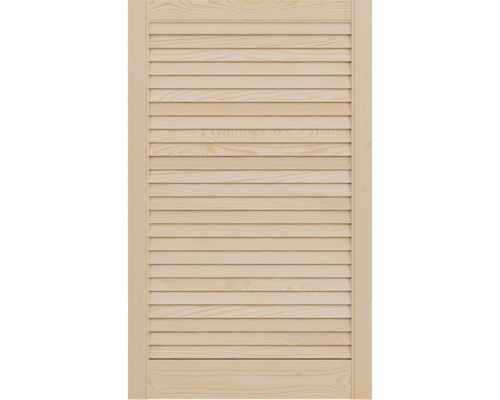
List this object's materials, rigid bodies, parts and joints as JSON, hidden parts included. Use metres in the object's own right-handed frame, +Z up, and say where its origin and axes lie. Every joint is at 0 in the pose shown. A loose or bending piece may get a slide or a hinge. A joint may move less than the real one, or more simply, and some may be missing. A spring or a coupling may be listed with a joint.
{
  "type": "louvred cabinet door",
  "caption": "Upright rectangular cabinet door of raw pine: a beaded frame of stiles and rails holds a column of fixed tilted slats that hide the inside and let air through.",
  "frame": {"origin": "middle of the door's foot: half its width, half its thickness, at the lower ends of the stiles", "axes": "+Z up along the stiles, +X to the right as seen from the front, the front faces -Y"},
  "size_m": [0.44, 0.021, 0.72],
  "materials": {
    "stile_pine": "raw sanded pine, straight grain upright",
    "rail_pine": "raw sanded pine, arched grain lying across",
    "slat_pine": "raw sanded pine, grain along the slat, each slat a little different",
    "dowel_beech": "fluted beech"
  },
  "bodies": {
    "root": {"left_stile": "stile_pine", "right_stile": "stile_pine", "top_rail": "rail_pine", "bottom_rail": "rail_pine", "corner_dowels": "dowel_beech", "slat_01": "slat_pine", "slat_02": "slat_pine", "slat_03": "slat_pine", "slat_04": "slat_pine", "slat_05": "slat_pine", "slat_06": "slat_pine", "slat_07": "slat_pine", "slat_08": "slat_pine", "slat_09": "slat_pine", "slat_10": "slat_pine", "slat_11": "slat_pine", "slat_12": "slat_pine", "slat_13": "slat_pine", "slat_14": "slat_pine", "slat_15": "slat_pine", "slat_16": "slat_pine", "slat_17": "slat_pine", "slat_18": "slat_pine", "slat_19": "slat_pine", "slat_20": "slat_pine", "slat_21": "slat_pine", "slat_22": "slat_pine", "slat_23": "slat_pine", "slat_24": "slat_pine", "slat_25": "slat_pine"}
  },
  "joints": []
}
